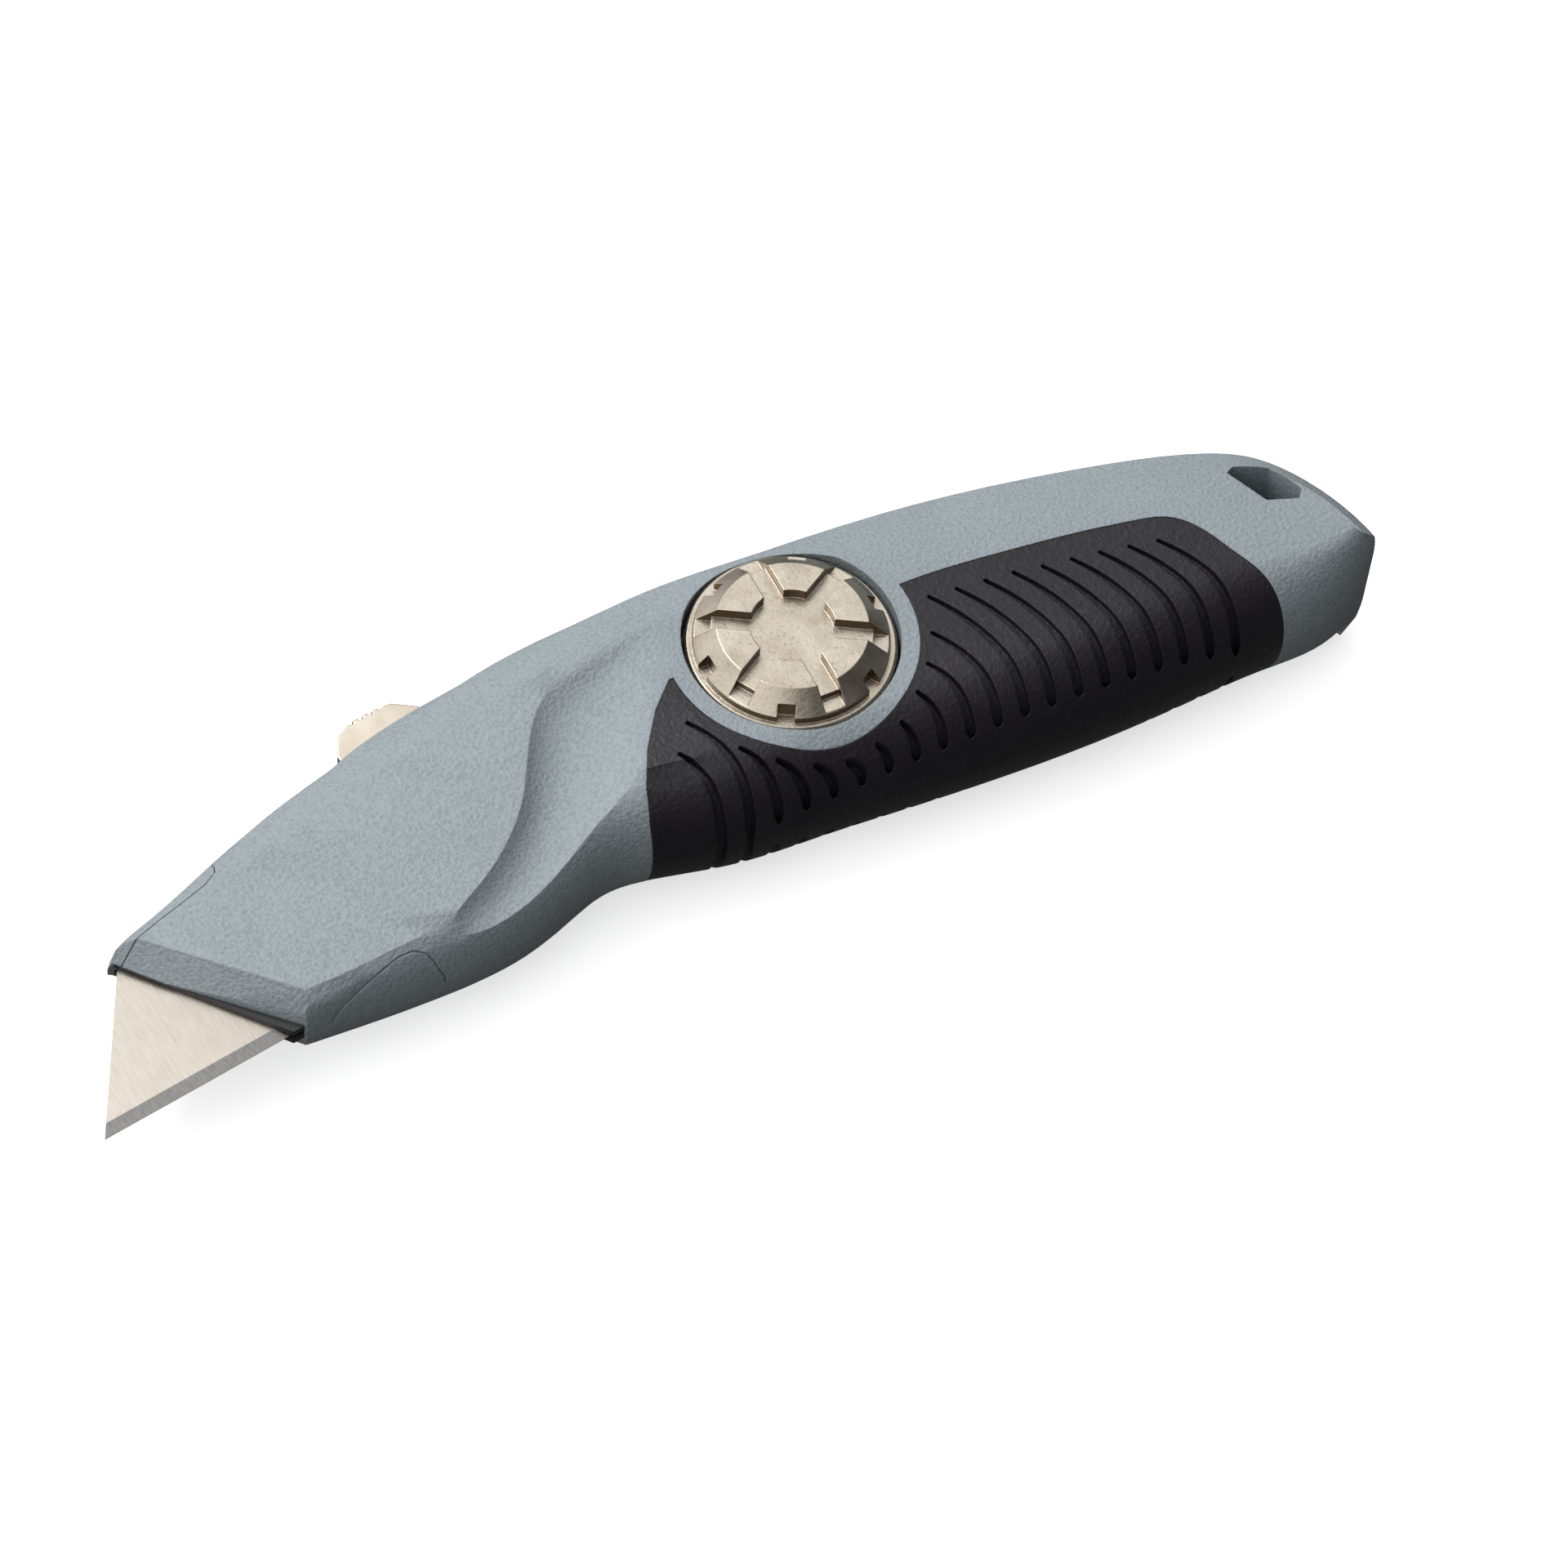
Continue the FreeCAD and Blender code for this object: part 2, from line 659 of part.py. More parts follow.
def guide_room(name, grow):
    """Space of one nose guide, from the front of the nose to the carriage."""
    foot_x, foot_y = nose_foot
    corner_x, corner_y = nose_corner
    rear = S.carrier_front - 1.5
    low = S.blade_edge_y - S.channel_gap
    high = S.blade_edge_y + S.blade_width + S.channel_gap
    lean = (foot_x - corner_x) / (as_size(corner_y) - foot_y)
    front_low = foot_x + lean * (as_size(foot_y) - low)
    front_high = foot_x + lean * (as_size(foot_y) - high)
    face = S.blade_thickness / 2 + S.blade_gap
    return slab(name, [(front_low + grow, low), (rear, low), (rear, high), (front_high + grow, high)],
                face, face + S.guide_thickness)


# ---------------------------------------------------------------- casings

def half_casing(name):
    """Outside of one half with its scoop, nose bevel and grip bed."""
    scooped = cut(name + "_scooped", form, scoop)
    bevelled = cut(name + "_bevelled", scooped, nose_bevel(name + "_bevel"))
    return cut(name + "_bedded", bevelled, grip_bedding)


def blade_slit(name):
    """Opening between the nose's faces for the blade and its two guides."""
    half = S.blade_thickness / 2 + S.blade_gap + S.guide_thickness
    return block(name, (-S.nose_length - 10, S.carrier_front - 1.5),
                 (S.blade_edge_y - S.channel_gap, S.blade_edge_y + S.blade_width + S.channel_gap),
                 (-half, half))


shell = half_casing("shell")
far_shell = mirrored("far_shell", shell)
whole = fuse("whole_shell", shell, far_shell)

right_base = common("right_base", shell, seam_plate("seam_inner", S.seam_gap))
left_base = cut("left_base", whole, seam_plate("seam_outer", 0.0))

clip_room = S.clip_radius + 0.5
right_casing = cut(
    "right_casing_shape", right_base,
    cavity("right_hollow", S.near_cavity), blade_slit("right_slit"),
    button_slot("right_button_slot"), lanyard_tool("right_lanyard"),
    pin_tools("right_pin_holes", S.pin_fit),
    cylinder("knob_recess", 0, 0, S.recess_floor, FAR, S.recess_radius),
    cylinder("stud_hole", 0, 0, -1, FAR, S.stud_hole_radius),
    cylinder("clip_recess", 0, 0, -1, S.near_cavity, clip_room))
left_hollow = mirrored("left_hollow", cavity("left_hollow_above", S.far_cavity))
insert_low = S.insert_top + S.insert_length
left_casing = cut(
    "left_casing_shape", left_base, left_hollow, blade_slit("left_slit"),
    button_slot("left_button_slot"), lanyard_tool("left_lanyard"), pin_tools("left_pin_holes", 0.0),
    cylinder("insert_hole", 0, 0, -insert_low, 1, S.insert_radius))

finish("left_casing", left_casing)
finish("left_grip", left_grip)
finish("right_casing", right_casing)
finish("right_grip", right_grip)


def ring(name, z_low, z_high, inner, outer):
    return cut(name, cylinder(name + "_outside", 0, 0, z_low, z_high, outer),
               cylinder(name + "_bore", 0, 0, as_size(z_low) - 1, as_size(z_high) + 1, inner))


pins = [cylinder(f"locating_pin_{i}", x, y, -S.pin_reach, S.pin_reach - 0.2, S.pin_radius)
        for i, (x, y) in enumerate(pin_places, start=1)]
finish("locating_pins", *pins)

right_guide = guide_room("right_guide_shape", 0.35)
left_guide = mirrored("left_guide_shape", right_guide)
finish("right_nose_guide", right_guide)
finish("left_nose_guide", left_guide)

# ---------------------------------------------------------------- knob and screw

finish("thread_insert", ring("thread_insert_shape", -insert_low, -S.insert_top,
                             S.stud_radius + S.running_fit, S.insert_radius))
finish("knob_washer", ring("washer_shape", S.recess_floor, S.recess_floor + S.washer_thickness,
                           S.stud_hole_radius + 0.3, S.washer_radius))

knob_low = S.recess_floor + S.washer_thickness + S.running_fit


def knob_shape():
    """Turned cap with a star-shaped dish, six channels and a notch in each petal."""
    body = new_body("knob_body")
    side = new_sketch(body, "knob_section", "XZ_Plane")
    rim = S.knob_radius
    draw_polygon(side, [(0, knob_low), (rim - 0.4, knob_low), (rim, knob_low + 0.4),
                        (rim, S.side_height - 1.3), (rim - 0.35, S.side_height - 0.9),
                        (S.petal_outer, S.side_height - 0.9), (S.petal_outer, S.side_height),
                        (S.petal_flat, S.knob_top), (0, S.knob_top)])
    turned = body.newObject("PartDesign::Revolution", "knob_turned")
    turned.Profile = side
    axis = [f for f in body.Origin.OriginFeatures if f.Role == "Z_Axis"][0]
    turned.ReferenceAxis = (axis, [""])
    turned.Angle = 360
    return body


knob_blank = knob_shape()
channel_tools = []
for i in range(KNOB_PETALS):
    half = S.channel_width / 2
    channel = block(f"knob_channel_{i + 1}", (3.0, S.knob_radius + 1), (-half, half),
                    (S.knob_dish, S.knob_top + 1))
    rim_cut = block(f"knob_rim_cut_{i + 1}", (S.petal_flat + 0.6, S.petal_outer + 0.01),
                    (-half, half), (S.side_height + 0.2, S.knob_top + 1))
    notch_half = S.rim_notch_width / 2
    notch = block(f"knob_notch_{i + 1}", (S.petal_outer - 1.3, S.petal_outer + 1),
                  (-notch_half, notch_half), (S.side_height - 0.9, S.knob_top + 1))
    turn = 360.0 / KNOB_PETALS
    centre = PETAL_TURN + turn * i
    for tool, angle in ((channel, centre + turn / 2), (rim_cut, centre + turn / 2), (notch, centre)):
        holder = doc.addObject("Part::Feature", tool.Name + "_turned")
        doc.recompute()
        shape = tool.Shape.copy()
        shape.rotate(Vector(0, 0, 0), Vector(0, 0, 1), angle)
        holder.Shape = shape
        channel_tools.append(holder)
finish("knob", cut("knob_shape", knob_blank, *channel_tools,
                   cylinder("knob_dish_tool", 0, 0, S.knob_dish, FAR, S.petal_inner),
                   cylinder("knob_bore", 0, 0, 0, S.stud_seat, S.stud_radius)))

clip_top = S.near_cavity - 0.15
clip_low = clip_top - S.clip_thickness
groove = ring("stud_groove", clip_low, clip_top, S.clip_groove_radius, S.stud_radius + 1)
finish("knob_stud", cut("stud_shape", cylinder("stud_bar", 0, 0, -S.stud_reach, S.stud_seat,
                                               S.stud_radius), groove))
finish("retaining_clip", cut(
    "clip_shape", ring("clip_ring", clip_low, clip_top, S.clip_groove_radius, S.clip_radius),
    block("clip_mouth", (0, FAR), (-1.2, 1.2), (0, FAR))))


# ---------------------------------------------------------------- blades

def blade_body(name):
    """Trapezoid blade with its long edge ground from both sides.

    The blade's own frame has the long edge on X from 0 and the back at +Y.
    """
    body = new_body(name)
    section = new_sketch(body, name + "_section", "YZ_Plane")
    half = S.blade_thickness / 2
    thin = S.blade_edge_thickness / 2
    draw_polygon(section, [(0, -thin), (S.blade_bevel, -half), (S.blade_width, -half),
                           (S.blade_width, half), (S.blade_bevel, half), (0, thin)])
    pad(body, section, S.blade_length, name + "_pad")
    lean = (S.blade_length - S.blade_back_length) / 2
    ends = new_sketch(body, name + "_ends")
    draw_polygon(ends, [(0, 0), (lean, S.blade_width), (lean, S.blade_width + 1), (-1, S.blade_width + 1),
                        (-1, 0)])
    draw_polygon(ends, [(S.blade_length, 0), (S.blade_length + 1, 0),
                        (S.blade_length + 1, S.blade_width + 1),
                        (S.blade_length - lean, S.blade_width + 1),
                        (S.blade_length - lean, S.blade_width)])
    pocket(body, ends, 10, name + "_end_cut").Midplane = True
    notches = new_sketch(body, name + "_notches")
    wide = S.blade_notch_width / 2
    for side in (-1, 1):
        middle = S.blade_length / 2 + S.blade_notch_spacing / 2 * side
        draw_polygon(notches, [(middle - wide, S.blade_width - S.blade_notch_depth),
                               (middle + wide, S.blade_width - S.blade_notch_depth),
                               (middle + wide, S.blade_width + 0.5),
                               (middle - wide, S.blade_width + 0.5)])
    pocket(body, notches, 10, name + "_notch_cut").Midplane = True
    return body


blade = blade_body("blade_shape")
place(blade, S.blade_tip_x, S.blade_edge_y, 0)
finish("blade", blade)

tray_low = -S.near_cavity
stack_low = tray_low + S.tray_floor + S.stack_gap
pitch = S.blade_thickness + S.stack_gap
for i in range(SPARE_BLADES):
    spare = blade_body(f"spare_blade_{i + 1}_shape")
    level = stack_low + S.blade_thickness / 2 + pitch * i
    spare.Placement = stack_placement(level.value)
    finish(f"spare_blade_{i + 1}", spare)

stack_top = stack_low + pitch * SPARE_BLADES
finish("blade_magazine", cut(
    "magazine_shape", stack_plate("tray_block", S.tray_wall + S.tray_gap, tray_low, stack_top),
    stack_plate("tray_pocket", S.tray_gap, tray_low + S.tray_floor, stack_top + 1)))


def magazine_spring():
    """Arched steel strip between the top spare blade and the right half."""
    strip = S.leaf_thickness
    low = stack_top
    high = S.near_cavity - 0.2
    body = new_body("magazine_spring_body")
    side = new_sketch(body, "magazine_spring_side", "XZ_Plane")
    draw_polygon(side, [(20, low), (23, low), (29, high - strip), (32, high - strip), (38, low),
                        (41, low), (41, low + strip), (38, low + strip), (32, high), (29, high),
                        (23, low + strip), (20, low + strip)])
    feature = pad(body, side, 6.0, "magazine_spring_pad")
    feature.Midplane = True
    body.Placement = FreeCAD.Placement(
        stack_placement(0).multVec(Vector(0, 9.5, 0)), Rotation(Vector(0, 0, 1), S.stack_turn.value))
    return body


finish("magazine_spring", magazine_spring())

# ---------------------------------------------------------------- carriage

blade_back = S.blade_edge_y + S.blade_width
plate_low = S.blade_thickness / 2 + S.blade_gap
notch_x = S.blade_tip_x + S.blade_length / 2 + S.blade_notch_spacing / 2
notch_half = S.blade_notch_width / 2 - 0.15
rivet_places = [(S.carrier_rear - 2.6, 5.0), (S.carrier_rear - 2.6, -2.5)]


def rivet_tools(name, grow):
    return [cylinder(f"{name}_{i}", x, y, -5, 5, S.rivet_radius + grow)
            for i, (x, y) in enumerate(rivet_places, start=1)]


carrier_block = fuse(
    "carrier_block",
    block("carrier_plate", (S.carrier_front, S.carrier_rear), (-6.0, blade_back + 0.4),
          (plate_low, S.carrier_half)),
    block("carrier_beam", (S.beam_front, S.carrier_rear), (blade_back + 0.4, S.beam_top),
          (-S.carrier_half, S.carrier_half)),
    block("carrier_peg", (notch_x - notch_half, notch_x + notch_half),
          (blade_back - S.blade_notch_depth + 0.15, blade_back + 0.4),
          (-S.blade_thickness / 2, plate_low + 0.1)),
    block("carrier_heel", (S.blade_tip_x + S.blade_length + 0.3, S.carrier_rear), (-6.0, blade_back + 0.4),
          (-plate_low, plate_low)))
well_low = S.button_bottom - S.button_press - 0.2
button_well = block("button_well", (S.button_front - 0.1, S.button_rear + 0.1), (well_low, FAR),
                    (-S.button_half - 0.1, S.button_half + 0.1))
tab_slots = block("tab_slots", (S.button_front + 2.4, S.button_rear - 2.4), (well_low, FAR), (-FAR, FAR))
finish("blade_carrier", cut("carrier_shape", carrier_block, button_well, tab_slots,
                            *rivet_tools("carrier_rivet_hole", 0.0)))

clip_front = S.carrier_front + 2.0
finish("blade_clip", cut(
    "blade_clip_shape",
    block("blade_clip_sheet", (clip_front, S.carrier_rear - 1.0), (-4.5, 7.5),
          (-plate_low - S.clip_sheet, -plate_low)),
    *rivet_tools("clip_rivet_hole", 0.0)))
rivets = []
for i, (x, y) in enumerate(rivet_places, start=1):
    rivets.append(fuse(
        f"rivet_{i}",
        cylinder(f"rivet_{i}_shank", x, y, -plate_low - S.clip_sheet, S.carrier_half, S.rivet_radius),
        cylinder(f"rivet_{i}_tail", x, y, -plate_low - S.clip_sheet - 0.5, -plate_low - S.clip_sheet,
                 S.rivet_radius + 0.6),
        cylinder(f"rivet_{i}_head", x, y, S.carrier_half, S.carrier_half + 0.5, S.rivet_radius + 0.6)))
finish("clip_rivets", *rivets)

leaf_low = blade_back + 0.5
rail_face = S.far_cavity - S.rail_thickness
bump_x = S.beam_front + 2.0
shoulder = S.leaf_thickness + 0.15 - rail_face
leaf_side = [(S.carrier_rear - 1.0, -S.carrier_half - S.leaf_thickness),
             (S.carrier_rear - 1.0, -S.carrier_half), (bump_x + 4.0, -S.carrier_half),
             (bump_x + 1.2, shoulder), (bump_x + 0.7, -rail_face - 0.2),
             (bump_x - 0.7, -rail_face - 0.2), (bump_x - 1.2, shoulder),
             (bump_x - 2.0, shoulder), (bump_x - 2.0, shoulder - S.leaf_thickness),
             (bump_x - 1.4, shoulder - S.leaf_thickness),
             (bump_x - 0.9, -rail_face - 0.2 - S.leaf_thickness),
             (bump_x + 0.9, -rail_face - 0.2 - S.leaf_thickness),
             (bump_x + 1.6, shoulder - S.leaf_thickness),
             (bump_x + 4.2, -S.carrier_half - S.leaf_thickness)]
leaf = new_body("latch_spring_body")
leaf_sketch = new_sketch(leaf, "latch_spring_side", "XZ_Plane")
draw_polygon(leaf_sketch, leaf_side)
pad(leaf, leaf_sketch, S.leaf_height, "latch_spring_pad", reverse=True)
place(leaf, 0, leaf_low, 0)
finish("latch_spring", leaf)

rail_front = S.beam_front - 0.4
rail_rear = S.carrier_rear + S.travel
detents = []
for i in range(DETENTS):
    middle = bump_x + S.travel / (DETENTS - 1) * i
    detents.append(block(f"detent_{i + 1}", (middle - S.detent_width / 2, middle + S.detent_width / 2),
                         (leaf_low - 1, leaf_low + S.leaf_height + 0.3), (-FAR, FAR)))
finish("detent_rail", cut(
    "detent_rail_shape",
    block("rail_strip", (rail_front - 0.1, rail_rear),
          (leaf_low - 0.1, leaf_low + S.leaf_height + 1.8), (-S.far_cavity, -rail_face)),
    *detents))


def thumb_button():
    """Low hump that stands out of the spine, with two tabs that hold it in."""
    body = new_body("button_body")
    side = new_sketch(body, "button_side")
    front, rear, top = S.button_front, S.button_rear, S.button_top
    draw_polygon(side, [(front, S.button_bottom), (rear, S.button_bottom), (rear, top - 2.6),
                        (rear - 2.6, top - 0.4), (rear - 5.2, top), (front + 4.4, top),
                        (front + 1.6, top - 1.0), (front, top - 3.4)])
    feature = pad(body, side, S.button_half * 2, "button_pad", midplane=True)
    tabs = block("button_tabs", (front + 2.6, rear - 2.6),
                 (S.button_bottom, S.button_bottom + S.button_tab_height),
                 (-S.button_tab_half, S.button_tab_half))
    ribs = [block(f"button_rib_{i}", (front + 3.8 + 1.4 * i, front + 4.4 + 1.4 * i),
                  (top - 0.4, top + 1), (-FAR, FAR)) for i in range(4)]
    return cut("button_shape", fuse("button_solid", body, tabs), *ribs)


finish("thumb_button", thumb_button())

# ---------------------------------------------------------------- checks and export

doc.recompute()
for feature in doc.Objects:
    if "Invalid" in feature.State or "Error" in feature.State:
        fail(f"{feature.Name} failed: {feature.getStatusString()}")
os.makedirs("parts", exist_ok=True)
for feature in parts:
    shape = feature.Shape
    if shape.isNull() or not shape.isValid():
        fail(f"{feature.Label} has no valid shape")
    shape.exportStep(f"parts/{feature.Label}.step")
    box = shape.BoundBox
    print(f"{feature.Label}: {shape.Volume:.1f} mm3, {len(shape.Solids)} solids, "
          f"x {box.XMin:.2f}..{box.XMax:.2f}, y {box.YMin:.2f}..{box.YMax:.2f}, "
          f"z {box.ZMin:.2f}..{box.ZMax:.2f}")
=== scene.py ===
import json
import math

import bmesh
import bpy
from mathutils import Matrix, Vector

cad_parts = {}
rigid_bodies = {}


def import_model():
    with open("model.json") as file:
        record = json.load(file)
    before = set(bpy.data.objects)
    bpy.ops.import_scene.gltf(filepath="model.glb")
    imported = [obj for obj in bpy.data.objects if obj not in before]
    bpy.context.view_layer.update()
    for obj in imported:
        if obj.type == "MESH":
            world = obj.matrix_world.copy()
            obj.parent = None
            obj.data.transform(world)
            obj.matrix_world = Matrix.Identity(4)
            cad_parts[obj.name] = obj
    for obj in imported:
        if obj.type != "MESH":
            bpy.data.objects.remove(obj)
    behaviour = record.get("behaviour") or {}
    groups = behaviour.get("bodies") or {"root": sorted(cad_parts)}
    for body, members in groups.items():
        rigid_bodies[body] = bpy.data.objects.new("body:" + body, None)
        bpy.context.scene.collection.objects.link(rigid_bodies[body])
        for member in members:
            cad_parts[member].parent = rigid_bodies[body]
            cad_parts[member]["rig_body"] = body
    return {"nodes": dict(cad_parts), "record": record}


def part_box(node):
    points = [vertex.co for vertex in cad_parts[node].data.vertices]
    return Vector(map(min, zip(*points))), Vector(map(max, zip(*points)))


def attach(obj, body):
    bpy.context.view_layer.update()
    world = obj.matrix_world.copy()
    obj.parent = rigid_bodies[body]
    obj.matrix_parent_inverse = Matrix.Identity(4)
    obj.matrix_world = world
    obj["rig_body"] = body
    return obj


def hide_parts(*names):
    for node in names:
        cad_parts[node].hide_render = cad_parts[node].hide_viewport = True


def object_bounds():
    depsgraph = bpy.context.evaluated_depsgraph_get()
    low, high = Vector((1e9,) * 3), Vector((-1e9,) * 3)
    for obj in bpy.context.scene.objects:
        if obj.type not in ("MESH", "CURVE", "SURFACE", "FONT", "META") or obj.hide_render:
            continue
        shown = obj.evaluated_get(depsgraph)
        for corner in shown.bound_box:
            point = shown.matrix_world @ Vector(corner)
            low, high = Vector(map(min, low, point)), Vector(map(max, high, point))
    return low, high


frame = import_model()
CAD_BOX = [list(corner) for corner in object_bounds()]
NODES = frame["nodes"]
MM = 0.001

# ------------------------------------------------------------------ places

knob_low, knob_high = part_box("knob")
KNOB_X = (knob_low.x + knob_high.x) / 2
KNOB_Y = (knob_low.y + knob_high.y) / 2
RIM_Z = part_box("right_casing")[1].z
EDGE_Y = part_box("blade")[0].y
GROUND_BAND = (1.62 * MM, 1.72 * MM)      # where the blade's ground band ends and its face starts

WHITE = (1.0, 1.0, 1.0, 1.0)
SKY_FROM = (-0.35, 0.6, 0.72)             # the bright side of the room
SKY_SPREAD = (0.05, 0.75)                 # how far from it the light falls off
SKY_STRENGTH = (0.10, 1.15)               # darkest and brightest part of the room

FLOOR_SIZE = 6.0
FLOOR_GLOW = 0.6
FLOOR_GAP = 0.05 * MM

CAMERA_AZIMUTH = -41.07
CAMERA_ELEVATION = 55.86
CAMERA_ROLL = 6.34
CAMERA_DISTANCE = 0.75834
CAMERA_LENS = 144.375
CAMERA_AIM = (-13.46 * MM, -17.09 * MM)   # from the knob's axis

WELD = 0.002 * MM
SHARP_ANGLE = math.radians(32.0)


# ------------------------------------------------------------------ material kit

class Finish:
    """A node material built step by step around one Principled shader."""

    def __init__(self, name):
        self.material = bpy.data.materials.new(name)
        self.material.use_nodes = True
        self.nodes = self.material.node_tree.nodes
        self.links = self.material.node_tree.links
        self.shader = self.nodes["Principled BSDF"]
        self.coords = self.nodes.new("ShaderNodeTexCoord").outputs["Object"]

    def add(self, kind, **settings):
        node = self.nodes.new(kind)
        for key, value in settings.items():
            setattr(node, key, value)
        return node

    def link(self, source, target):
        self.links.new(source, target)

    def set(self, **values):
        for key, value in values.items():
            self.shader.inputs[key.replace("_", " ")].default_value = value
        return self

    def stretched(self, scale):
        mapping = self.add("ShaderNodeMapping")
        self.link(self.coords, mapping.inputs["Vector"])
        mapping.inputs["Scale"].default_value = scale
        return mapping.outputs["Vector"]

    def noise(self, size, detail=4.0, roughness=0.55, vector=None):
        """Noise whose blotches are about size metres across."""
        node = self.add("ShaderNodeTexNoise")
        node.inputs["Scale"].default_value = 1.0 / size
        node.inputs["Detail"].default_value = detail
        node.inputs["Roughness"].default_value = roughness
        self.link(vector or self.coords, node.inputs["Vector"])
        return node.outputs["Fac"]

    def ramp(self, fac, *stops):
        """Colours at places along a value from 0 to 1."""
        node = self.add("ShaderNodeValToRGB")
        elements = node.color_ramp.elements
        while len(elements) < len(stops):
            elements.new(0.5)
        for element, (place, colour) in zip(elements, stops):
            element.position = place
            element.color = colour if len(colour) == 4 else (*colour, 1.0)
        self.link(fac, node.inputs["Fac"])
        return node.outputs["Color"]

    def spread(self, fac, low, high, start=0.3, end=0.7):
        """Map a noise value's middle range to low and high."""
        node = self.add("ShaderNodeMapRange")
        for key, value in (("From Min", start), ("From Max", end), ("To Min", low), ("To Max", high)):
            node.inputs[key].default_value = value
        self.link(fac, node.inputs["Value"])
        return node.outputs["Result"]

    def mix(self, fac, a, b):
        node = self.add("ShaderNodeMix", data_type="RGBA")
        for socket, value in ((node.inputs["Factor"], fac), (node.inputs["A"], a), (node.inputs["B"], b)):
            if isinstance(value, (int, float)):
                socket.default_value = value
            elif isinstance(value, tuple):
                socket.default_value = (*value, 1.0) if len(value) == 3 else value
            else:
                self.link(value, socket)
        return node.outputs["Result"]

    def soft_edges(self, radius):
        """Normal that rounds corners within the radius."""
        node = self.add("ShaderNodeBevel", samples=6)
        node.inputs["Radius"].default_value = radius
        return node.outputs["Normal"]

    def bump(self, height, distance, strength=1.0, after=None):
        node = self.add("ShaderNodeBump")
        node.inputs["Distance"].default_value = distance
        node.inputs["Strength"].default_value = strength
        self.link(height, node.inputs["Height"])
        if after is not None:
            self.link(after, node.inputs["Normal"])
        return node.outputs["Normal"]

    def out(self, name, source):
        self.link(source, self.shader.inputs[name])
        return self


def powder_coat():
    finish = Finish("powder_coat")
    grain = finish.noise(0.5 * MM, 3.0, 0.55)
    patch = finish.noise(14 * MM, 4.0)
    colour = finish.mix(finish.spread(patch, 0.0, 1.0), (0.232, 0.270, 0.292), (0.256, 0.294, 0.316))
    colour = finish.mix(finish.spread(grain, 0.0, 0.25, 0.46, 0.62), colour, (0.36, 0.40, 0.42))
    colour = finish.mix(finish.spread(grain, 0.3, 0.0, 0.34, 0.46), colour, (0.150, 0.178, 0.196))
    finish.out("Base Color", colour)
    finish.out("Roughness", finish.spread(grain, 0.62, 0.46))
    finish.out("Normal", finish.bump(grain, 0.2 * MM, 1.0, finish.soft_edges(0.25 * MM)))
    return finish.set(Specular_IOR_Level=0.45).material


def grip_rubber():
    finish = Finish("grip_rubber")
    grain = finish.noise(0.6 * MM, 4.0, 0.6)
    patch = finish.noise(9 * MM, 4.0)
    tone = finish.mix(finish.spread(patch, 0.0, 1.0), (0.0070, 0.0055, 0.0078), (0.0105, 0.0088, 0.0115))
    colour = finish.mix(finish.spread(grain, 0.0, 0.5, 0.5, 0.65), tone, (0.022, 0.019, 0.023))
    finish.out("Base Color", colour)
    finish.out("Roughness", finish.spread(grain, 0.52, 0.36))
    finish.out("Normal", finish.bump(grain, 0.14 * MM, 1.0, finish.soft_edges(0.2 * MM)))
    return finish.set(Specular_IOR_Level=0.4).material


def satin_nickel():
    finish = Finish("satin_nickel")
    pits = finish.noise(0.5 * MM, 5.0, 0.6)
    smear = finish.noise(5 * MM, 4.0)
    colour = finish.mix(finish.spread(smear, 0.0, 1.0), (0.60, 0.52, 0.42), (0.70, 0.63, 0.53))
    finish.out("Base Color", colour)
    finish.out("Roughness", finish.spread(smear, 0.20, 0.34))
    finish.out("Normal", finish.bump(pits, 0.02 * MM, 0.6, finish.soft_edges(0.3 * MM)))
    return finish.set(Metallic=1.0).material


def knob_plating():
    """The same plating, worn dull on top, with painted shade turning its steep walls dark brown."""
    finish = Finish("knob_plating")
    pits = finish.noise(0.45 * MM, 6.0, 0.65)
    smear = finish.noise(4 * MM, 5.0, 0.6)
    top = finish.mix(finish.spread(smear, 0.0, 1.0), (0.50, 0.44, 0.35), (0.64, 0.58, 0.49))
    top = finish.mix(finish.spread(pits, 0.6, 0.0, 0.30, 0.44), top, (0.22, 0.17, 0.12))
    # Painted shade: faces that turn away from straight up are mixed towards dark brown, by their
    # direction alone.
    facing = finish.add("ShaderNodeSeparateXYZ")
    finish.link(finish.add("ShaderNodeNewGeometry").outputs["True Normal"], facing.inputs["Vector"])
    painted_wall_shade = finish.spread(facing.outputs["Z"], 1.0, 0.0, 0.35, 0.8)
    finish.out("Base Color", finish.mix(painted_wall_shade, top, (0.105, 0.072, 0.045)))
    finish.out("Roughness", finish.spread(smear, 0.24, 0.42))
    finish.out("Normal", finish.bump(pits, 0.05 * MM, 0.8, finish.soft_edges(0.22 * MM)))
    return finish.set(Metallic=1.0).material


def blade_steel():
    """Satin faces with a duller ground band along the cutting edge."""
    finish = Finish("blade_steel")
    across = finish.noise(0.16 * MM, 4.0, 0.6, finish.stretched((1.0, 0.06, 1.0)))
    face = finish.ramp(across, (0.3, (0.41, 0.375, 0.33)), (0.7, (0.50, 0.46, 0.405)))
    ground = finish.ramp(across, (0.3, (0.20, 0.20, 0.20)), (0.7, (0.31, 0.305, 0.295)))
    place = finish.add("ShaderNodeSeparateXYZ")
    finish.link(finish.coords, place.inputs["Vector"])
    on_face = finish.spread(place.outputs["Y"], 0.0, 1.0, *(EDGE_Y + end for end in GROUND_BAND))
    finish.out("Base Color", finish.mix(on_face, ground, face))
    finish.out("Roughness", finish.spread(across, 0.32, 0.42))
    finish.out("Normal", finish.bump(across, 0.012 * MM, 0.6))
    return finish.set(Metallic=1.0).material


